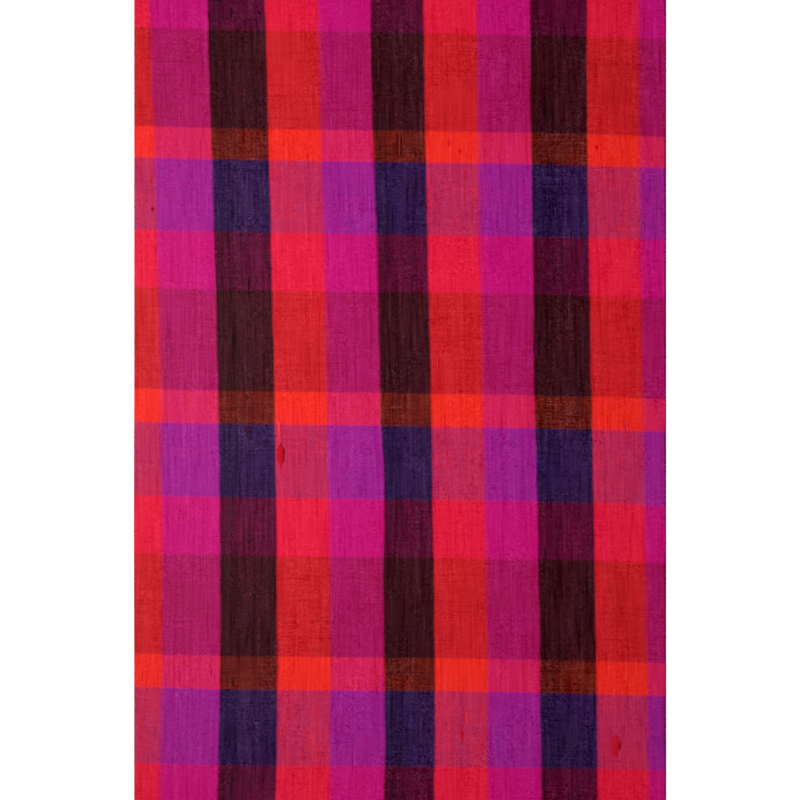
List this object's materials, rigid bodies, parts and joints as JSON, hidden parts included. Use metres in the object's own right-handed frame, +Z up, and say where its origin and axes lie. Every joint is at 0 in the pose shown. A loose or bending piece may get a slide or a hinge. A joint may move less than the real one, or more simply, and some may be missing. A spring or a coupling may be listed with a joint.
{
  "type": "silk shantung fabric",
  "caption": "Flat cut length of checked silk shantung: fine even yarns run across, coarser slubbed yarns run lengthwise, and the cut edges are plain.",
  "frame": {"origin": "middle of the underside, on the surface that the cloth lies on", "axes": "+Z up out of the right side of the cloth, +X across the stripes, +Y along the slubbed yarns, which is the length of the cut piece"},
  "size_m": [0.133, 0.22, 0.0025],
  "materials": {
    "silk": "plain-woven slubbed silk with a soft lustre, in a check of red, magenta and black by crimson, dark brown, orange and blue-violet"
  },
  "bodies": {
    "root": {"cloth": "silk"}
  },
  "joints": []
}
